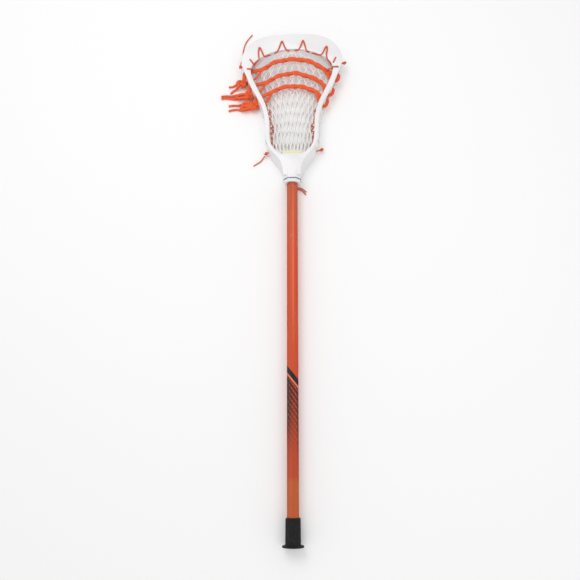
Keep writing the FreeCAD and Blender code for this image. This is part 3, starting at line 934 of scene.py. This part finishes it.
# ---------------------------------------------------------------- moulded and metal parts
@dataclass
class SoftEdged:
    """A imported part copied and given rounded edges."""

    node: str
    piece: str
    body: Body
    slot: Slot
    offset: float
    segments: int = 3
    sharp_degrees: float = 28.0
    flat_degrees: float = 1.0
    merge: float = 2e-6
    shade_degrees: float = 40.0

    def build(self, nodes: dict, material: bpy.types.Material) -> bpy.types.Object:
        """Copies, merges and bevels the part's mesh.

        Args:
            nodes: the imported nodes.
            material: its finish.

        Returns:
            The piece.
        """
        work = bmesh.new()
        work.from_mesh(nodes[self.node].data)
        bmesh.ops.remove_doubles(work, verts=work.verts, dist=self.merge)
        bmesh.ops.dissolve_limit(work, angle_limit=math.radians(self.flat_degrees),
                                 verts=work.verts, edges=work.edges)
        sharp = [edge for edge in work.edges if len(edge.link_faces) == 2
                 and edge.calc_face_angle(0.0) > math.radians(self.sharp_degrees)]
        bmesh.ops.bevel(work, geom=sharp, offset=self.offset, offset_type="OFFSET",
                        segments=self.segments, profile=0.5, affect="EDGES", clamp_overlap=True,
                        material=-1)
        mesh = finish_bmesh(work, self.piece)
        piece = add_piece(self.piece, mesh, material)
        mesh.set_sharp_from_angle(angle=math.radians(self.shade_degrees))
        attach(piece, self.body.value)
        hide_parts(self.node)
        LOG.info("%s: %d faces", self.piece, len(mesh.polygons))
        return piece


# ---------------------------------------------------------------- pocket mesh
@dataclass
class PocketMesh:
    """Knitted diamond mesh: cords that zigzag side by side and meet row by row."""

    cords: int = 22
    radius: float = 0.00155
    wall_gap: float = 2.6
    hold: float = 2.3
    belly_s: float = 846.0
    belly_half: tuple[float, float] = (30.0, 46.0)
    belly_z: float = -17.4
    blend_z: tuple[float, float] = (-14.2, -17.0)
    loose_below: float = 925.0
    # s at the middle, fall towards the walls, and the power of that fall, row by row
    rows: Sequence[tuple[float, float, float]] = (
        (774.0, 0.0, 2.0), (792.0, 0.0, 2.0), (815.0, 1.0, 2.0), (841.0, 4.0, 2.0),
        (866.0, 8.0, 2.0), (890.0, 14.0, 2.0), (913.0, 22.0, 2.0), (935.6, 31.0, 1.9),
        (950.5, 34.0, 1.8), (965.3, 37.0, 1.75), (979.0, 38.0, 2.1), (992.4, 40.0, 2.4),
        (1001.5, 40.0, 2.6), (1009.5, 40.0, 2.8))
    seed: int = 7

    def point(self, share: float, row: tuple[float, float, float], shift: float,
              wander: float) -> Vector:
        """Place of a cord.

        Args:
            share: place across, from -1 at the left wall to 1 at the right.
            row: the row it is on.
            shift: distance along from the row.
            wander: small sideways error.

        Returns:
            The point in the part's frame.
        """
        peak, fall, power = row
        s = peak - fall * abs(share) ** power + shift
        x = share * (table_value(OPENING_EDGE, s) - self.wall_gap) + wander
        away = math.hypot(x / self.belly_half[0], (s - self.belly_s) / self.belly_half[1])
        loose = min(max((1.4 - away) / 0.55, 0.0), 1.0)
        loose = loose * loose * (3 - 2 * loose)
        z = mesh_height(s) * (1 - loose) + self.belly_z * loose
        return place(x, s, z)

    def line(self, index: int, chance: random.Random) -> list[Vector]:
        """Route of one cord, from the foot of the pocket to the scoop.

        Args:
            index: the cord's number from the left.
            chance: the source of its small errors.

        Returns:
            Points along it.
        """
        middle = (index + 0.5) / self.cords * 2 - 1
        reach = 0.93 / self.cords
        points = []
        for number, row in enumerate(self.rows):
            way = 1 if (number + index) % 2 == 0 else -1
            share = max(min(middle + way * reach, 0.995), -0.995)
            loose, longer = (1.3, 1.5) if row[0] < self.loose_below else (0.35, 1.0)
            wander, slip = chance.uniform(-loose, loose), chance.uniform(-loose, loose) * 1.6
            hold = self.hold * longer
            for shift in (-hold, hold):
                points.append(self.point(share, row, shift + slip, wander * 0.5))
        return smooth_line(points, detail=4)

    def build(self, material: bpy.types.Material) -> bpy.types.Object:
        """Builds the mesh as one piece, sagging lowest at the pocket's middle.

        Args:
            material: its finish.

        Returns:
            The piece.
        """
        chance = random.Random(self.seed)
        tubes = [Tube(self.line(index, chance), lambda share: self.radius, sides=7,
                      flatness=0.85) for index in range(self.cords)]
        piece = add_piece("pocket_mesh", tubes_mesh("pocket_mesh", tubes), material)
        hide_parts("mesh_border", "pocket_belly")
        start, end = (tuple(place(0, self.belly_s, z)) for z in self.blend_z)
        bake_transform(piece)
        LOG.info("pocket_mesh: %d cords", self.cords)
        return piece


# ---------------------------------------------------------------- laces
@dataclass
class ShootingLace:
    """One doubled lace across the mesh: twisted pair, strap outside the right wall, and knot.

    Lengths are in mm. The pair runs from left to right through its peak, and falls by drop at
    reach from the middle. It goes round the strut, in through the left wall at into and out
    again at back.
    """

    name: str
    left: float
    right: float
    peak: float
    drop: float
    reach: float
    power: float
    strut: float
    into: float
    back: float
    z: float
    knot: Point
    knot_size: float
    knot_turn: float
    width: float = 4.05
    flatness: float = 0.56
    pitch: float = 38.0
    lift: float = 0.8
    twist: tuple[float, float] = (1.9, 1.5)
    knot_cord: float = 3.9
    fold_radius: float = 3.1
    # turn in degrees, rise and length of each loop that stands out of the knot
    folds: Sequence[tuple[float, float, float]] = ((0.0, 0.0, 26.0),)

    def strand(self, share: float, phase: float) -> Vector:
        """Point on one strand of the twisted pair.

        Args:
            share: from 0 at the left end to 1 at the right.
            phase: where it starts in its turn.

        Returns:
            The point.
        """
        span = self.right - self.left
        x = self.left + span * share
        far = abs(x) / self.reach
        s = self.peak - self.drop * far ** self.power
        base = max(LACE_Z, mesh_height(s) + 5.7) + self.lift
        angle = 2 * math.pi * span / self.pitch * share + phase
        slope = -self.drop * self.power * far ** (self.power - 1) / self.reach
        slope = math.copysign(slope, -x)
        run = math.hypot(1, slope)
        off = self.twist[0] * math.cos(angle)
        return place(x - off * slope / run, s + off / run,
                     base + self.twist[1] * math.sin(angle))

    def outside(self, s: float) -> float:
        """Distance from the middle of a strap that lies on the outside of a wall."""
        return table_value(OUTER_EDGE, s) + 2.2

    def radius(self, share: float) -> float:
        """Half width of the lace, fuller where it goes round the strut."""
        swell = ((0.0, 1.2), (0.03, 0.95), (0.06, 1.0), (0.44, 1.0), (0.48, 0.95), (0.5, 1.12),
                 (0.52, 0.95), (0.56, 1.0), (1.0, 0.85))
        return self.width * MM * table_value(swell, share)

    def build(self, material: bpy.types.Material) -> bpy.types.Object:
        """Builds the lace, its knot and the knot's loops.

        Args:
            material: their finish.

        Returns:
            The lace's piece.
        """
        steps, z, knot = 22, self.z, self.knot
        going = [self.strand(index / steps, math.pi / 2) for index in range(steps + 1)]
        coming = [self.strand(index / steps, -math.pi / 2) for index in range(steps, -1, -1)]
        middle = self.strut + 2.5
        strap = [(self.outside(middle + 6.5) - 9.5, middle + 6.5, z + 1.0),
                 (self.outside(middle + 6.5) - 1.5, middle + 6.8, z + 0.5),
                 (self.outside(middle + 3.0) + 1.0, middle + 4.0, z + 0.2),
                 (self.outside(middle - 3.0) + 1.0, middle - 4.0, z - 0.2),
                 (self.outside(middle - 6.5) - 1.5, middle - 6.8, z - 0.5),
                 (self.outside(middle - 6.5) - 9.5, middle - 6.5, z - 1.0)]
        start = [(knot[0] + 1.0, knot[1] + 2.0, knot[2] + 3.0),
                 (-self.outside(self.into - 6.0) - 0.6, self.into - 6.0, z - 1.0),
                 (-self.outside(self.into) + 2.0, self.into, z),
                 (-self.outside(self.into) + 11.0, self.into + 1.2, z + 0.8)]
        finish = [(self.left - 5.5, self.back + 5.0, z - 0.2),
                  (self.left - 13.0, self.back - 2.5, z - 0.8),
                  (-self.outside(self.back) + 4.5, self.back - 3.5, z - 1.2),
                  (knot[0] + 3.0, knot[1] + 1.5, knot[2] + 3.5)]
        points = ([place(*point) for point in start] + going[1:-1]
                  + [place(*point) for point in strap] + coming[1:-1]
                  + [place(*point) for point in finish])
        lace = Tube(smooth_line(points, detail=5), self.radius, flatness=self.flatness, sides=12)
        name = "shooting_lace_" + self.name
        piece = on_stick(add_piece(name, tubes_mesh(name, [lace]), material), Slot.LACE,
                         "lace_" + self.name)
        Knot("shooting_knot_" + self.name, "lace_knot_" + self.name, self.knot, self.knot_size,
             self.knot_cord, self.knot_turn).build(material, Slot.LACE)
        self.bights(material)
        return piece

    def bights(self, material: bpy.types.Material) -> None:
        """Builds the folded loops that stand out of the knot between its two ends.

        Args:
            material: their finish.
        """
        x, s, z = self.knot
        tubes = []
        for turn_degrees, rise, long in self.folds:
            turn = math.radians(turn_degrees)
            way, side = (-math.cos(turn), math.sin(turn)), (math.sin(turn), math.cos(turn))
            ring = ((2.0, 3.2, 2.0), (long * 0.45, 4.4, 0.8), (long * 0.85, 4.0, -0.8),
                    (long, 0.0, -1.6), (long * 0.85, -3.8, -0.6), (long * 0.45, -4.0, 1.0),
                    (2.0, -3.0, 2.2))
            line = [place(x + way[0] * far + side[0] * off, s + way[1] * far + side[1] * off,
                          z + rise + up) for far, off, up in ring]
            tubes.append(Tube(smooth_line(line, detail=5), lambda share: self.fold_radius * MM,
                              flatness=0.8, sides=12))
        name = "shooting_bight_" + self.name
        on_stick(add_piece(name, tubes_mesh(name, tubes), material), Slot.LACE)


@dataclass
class Knot:
    """Overhand knot: one cord that crosses itself three times."""

    piece: str
    node: str
    centre: Point
    size: float
    cord: float
    turn_degrees: float
    squash: float = 0.72
    stretch: float = 1.12

    def build(self, material: bpy.types.Material, slot: Slot) -> bpy.types.Object:
        """Builds the knot as one tube whose ends meet.

        Args:
            material: its finish.
            slot: its material slot.

        Returns:
            The piece.
        """
        count = 24
        scale = (self.size - self.cord * 0.92) / 3.0
        turn = math.radians(self.turn_degrees)
        points = []
        for index in range(count + 1):
            angle = 2 * math.pi * index / count
            a = (math.sin(angle) + 2 * math.sin(2 * angle)) * scale * self.stretch
            b = (math.cos(angle) - 2 * math.cos(2 * angle)) * scale
            c = -math.sin(3 * angle) * self.cord * self.squash
            points.append(place(self.centre[0] + a * math.cos(turn) - b * math.sin(turn),
                                self.centre[1] + a * math.sin(turn) + b * math.cos(turn),
                                self.centre[2] + c))
        tube = Tube(smooth_line(points, detail=4), lambda share: self.cord * MM, sides=12,
                    flatness=0.9)
        piece = add_piece(self.piece, tubes_mesh(self.piece, [tube]), material)
        return on_stick(piece, slot, self.node)


# ---------------------------------------------------------------- strings
@dataclass
class HeldStrings:
    """Strings that are held all along their length: scoop, side walls and foot."""

    scoop_radius: float = 1.6
    side_radius: float = 1.3
    foot_radius: float = 1.35
    side_from: float = 797.0
    side_to: float = 940.0
    stitches: int = 12
    knot_size: float = 4.2
    knot_cord: float = 1.5

    def build_strings(self, name: str, node: str, routes: Sequence[Sequence[Point]],
                      radius: float, material: bpy.types.Material) -> bpy.types.Object:
        """Makes one piece of several smooth round strings.

        Args:
            name: the piece's name.
            node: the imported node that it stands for.
            routes: each string's points in mm.
            radius: the strings' half width in mm.
            material: their finish.

        Returns:
            The piece.
        """
        tubes = [Tube(smooth_line([place(*point) for point in route], detail=5),
                      lambda share: radius * MM, sides=9) for route in routes]
        return on_stick(add_piece(name, tubes_mesh(name, tubes), material), Slot.STRING, node)

    def over(self, x: float, s: float, rise: float = 1.3) -> Point:
        """Point on the front face of the scoop."""
        return (x, s, scoop_height(s) + rise)

    def rim(self, x: float) -> Point:
        """Point along the inside edge of the scoop."""
        s = table_value(SCOOP_RIM, abs(x)) - 1.7
        return (x, s, scoop_height(s) - 2.6)

    def behind(self, x: float) -> Point:
        """Point behind the scoop's inside edge."""
        s = table_value(SCOOP_RIM, abs(x)) + 3.0
        return (x, s, scoop_height(s) - 11.0)

    def scoop(self, material: bpy.types.Material) -> None:
        """Builds the string along the scoop: four peaks, two ties and the bits beside them.

        Args:
            material: its finish.
        """
        over, rim, behind = self.over, self.rim, self.behind
        peaks = [
            [behind(-83.0), rim(-79.6), rim(-77.0), rim(-71.0), over(-71.0, 997.0, 0.9),
             over(-72.4, 1006.0), over(-70.4, 1017.2), over(-68.2, 1016.8),
             over(-63.0, 1004.0), over(-60.8, 998.6, 0.4), rim(-58.4), rim(-54.0),
             rim(-49.6), behind(-46.0)],
            [behind(-39.0), rim(-35.6), rim(-32.0), over(-28.8, 1010.6, 0.5),
             over(-26.2, 1016.0), over(-21.6, 1029.8), over(-19.6, 1029.6),
             over(-15.4, 1017.0), over(-12.6, 1012.2, 0.4), rim(-9.4), rim(-7.4),
             behind(-3.0)],
            [behind(4.4), rim(8.6), rim(13.4), over(17.4, 1012.6, 0.5), over(20.6, 1018.0),
             over(24.2, 1029.8), over(26.2, 1029.8), over(29.6, 1018.0),
             over(31.2, 1010.8, 0.4), rim(33.2), rim(36.6), behind(39.6)],
            [behind(43.0), rim(47.0), rim(60.0), over(66.2, 997.0, 0.5), over(70.0, 1005.0),
             over(74.6, 1014.0), over(77.2, 1014.6), over(77.8, 1008.0),
             over(75.4, 997.0), over(75.8, 991.0, 0.4), rim(78.6), rim(83.0), behind(85.6)]]
        ties = [[(-112.0, 983.2, 1.6), (-107.0, 983.0, 2.0), (-100.0, 983.0, 2.2),
                 (-90.0, 981.4, 3.0), (-84.0, 984.0, 6.0)],
                [(84.0, 984.0, 6.0), (92.0, 981.4, 3.0), (100.0, 983.0, 2.2),
                 (108.0, 983.4, 2.0), (113.4, 984.6, 1.8)]]
        bits = [[(-81.6, 978.6, 12.0), over(-83.9, 981.6, 0.9), over(-87.6, 986.6),
                 over(-90.2, 990.6, 0.8), (-91.2, 992.4, 14.6)],
                [(-83.6, 967.6, 10.0), over(-86.2, 968.0, 0.8), over(-92.0, 968.4, 1.0),
                 over(-96.4, 969.2, 0.6), (-98.4, 969.6, 10.0)],
                [(88.4, 976.6, 12.0), over(90.4, 978.6, 0.9), over(93.2, 984.0),
                 over(95.2, 988.8, 0.8), (96.0, 990.6, 14.4)],
                [(75.0, 966.4, 2.0), (79.0, 967.0, 8.0), (84.0, 967.0, 9.5), (87.0, 967.0, 7.0)],
                [(86.6, 967.2, 9.5), over(89.6, 967.6, 0.9), over(96.0, 967.4, 1.0),
                 over(100.6, 966.8, 0.6), (102.6, 966.6, 10.0)]]
        self.build_strings("scoop_string", "top_string", peaks + ties + bits,
                           self.scoop_radius, material)

    def side_wall(self, side: int, name: str, material: bpy.types.Material) -> None:
        """Builds the string stitched between the mesh and one wall.

        Args:
            side: -1 at the left, 1 at the right.
            name: the wall's name.
            material: its finish.
        """
        points = []
        for index in range(self.stitches * 2 + 1):
            s = self.side_from + (self.side_to - self.side_from) * index / (self.stitches * 2)
            wide = index % 2
            x = table_value(OPENING_EDGE, s) - (1.6 if wide else 7.4)
            z = mesh_height(s) + (3.6 if wide else -3.0)
            points.append((side * x, s - 1.4, z))
            points.append((side * (x - 0.4), s + 1.4, z - 0.6))
        self.build_strings("side_string_" + name, "sidewall_string_" + name, [points],
                           self.side_radius, material)

    def foot(self, material: bpy.types.Material) -> None:
        """Builds the string across the foot of the pocket, behind the mesh.

        Args:
            material: its finish.
        """
        route = [(-54.8, 780.0, -11.2), (-50.0, 781.4, -11.2), (-42.0, 783.4, -12.2),
                 (-31.0, 780.0, -13.8), (-16.0, 774.6, -14.0), (0.0, 772.6, -14.0),
                 (16.0, 774.6, -14.0), (31.0, 780.0, -13.8), (42.0, 783.2, -12.2),
                 (50.0, 781.2, -11.2), (60.2, 783.8, -11.2)]
        self.build_strings("foot_string", "bottom_string", [route], self.foot_radius, material)

    def build(self, material: bpy.types.Material) -> None:
        """Builds every held string and the knots at their ends.

        Args:
            material: their finish.
        """
        self.scoop(material)
        self.side_wall(-1, "left", material)
        self.side_wall(1, "right", material)
        self.foot(material)
        knots = (("scoop_knot_left", (-113.2, 983.4, 1.0), 90.0),
                 ("scoop_knot_right", (114.6, 985.0, 1.6), 0.0),
                 ("bottom_knot_left", (-56.4, 779.0, -12.0), 40.0),
                 ("bottom_knot_right", (62.0, 785.4, -12.0), 10.0))
        for node, centre, turn in knots:
            Knot("string_" + node, node, centre, self.knot_size, self.knot_cord, turn
                 ).build(material, Slot.STRING)


LACES = (
    ShootingLace("upper", left=-69.0, right=83.0, peak=992.4, drop=33.4, reach=84.0, power=2.4,
                 strut=946.0, into=968.0, back=954.5, z=0.5, knot=(-107.4, 949.0, -11.0),
                 knot_size=9.6, knot_turn=15.0, folds=((18.0, 0.5, 15.0),)),
    ShootingLace("middle", left=-60.0, right=70.0, peak=965.3, drop=27.3, reach=71.4, power=1.75,
                 strut=915.0, into=938.0, back=923.5, z=-4.5, knot=(-96.0, 918.6, -10.0),
                 knot_size=11.6, knot_turn=70.0, folds=((-2.0, 0.0, 27.0),)),
    ShootingLace("lower", left=-47.0, right=58.0, peak=935.6, drop=20.8, reach=60.0, power=1.9,
                 strut=889.0, into=908.0, back=897.5, z=-5.0, knot=(-82.4, 893.4, -9.6),
                 knot_size=11.8, knot_turn=-25.0,
                 folds=((-9.0, 0.0, 31.0), (10.0, 1.0, 27.0))),
)


# ---------------------------------------------------------------- main
def main() -> None:
    """Builds the stick's pieces in order."""
    logging.basicConfig(level=logging.INFO, format="%(name)s: %(message)s")
    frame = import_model()
    finishes = Finishes()
    studio = Studio()
    studio.camera()
    studio.light()
    studio.floor(finishes.floor)
    FreeEnds().build(finishes)
    rounded = (
        (SoftEdged("shaft", "shaft_tube", Body.STICK, Slot.SHAFT, 0.0009), finishes.shaft),
        (SoftEdged("end_cap", "butt_cap", Body.CAP, Slot.CAP, 0.0008, sharp_degrees=20.0),
         finishes.rubber),
        (SoftEdged("head_frame", "head_shell", Body.STICK, Slot.HEAD, 0.0007), finishes.plastic),
        (SoftEdged("head_screw", "collar_screw", Body.SCREW, Slot.SCREW, 0.00015, 2),
         finishes.steel),
        (SoftEdged("ball_stop", "foam_strip", Body.STICK, Slot.FOAM, 0.0006), finishes.foam))
    for part, material in rounded:
        part.build(frame["nodes"], material)
    PocketMesh().build(finishes.mesh)
    for lace in LACES:
        lace.build(finishes.lace)
    HeldStrings().build(finishes.string)


if __name__ == "__main__":
    main()
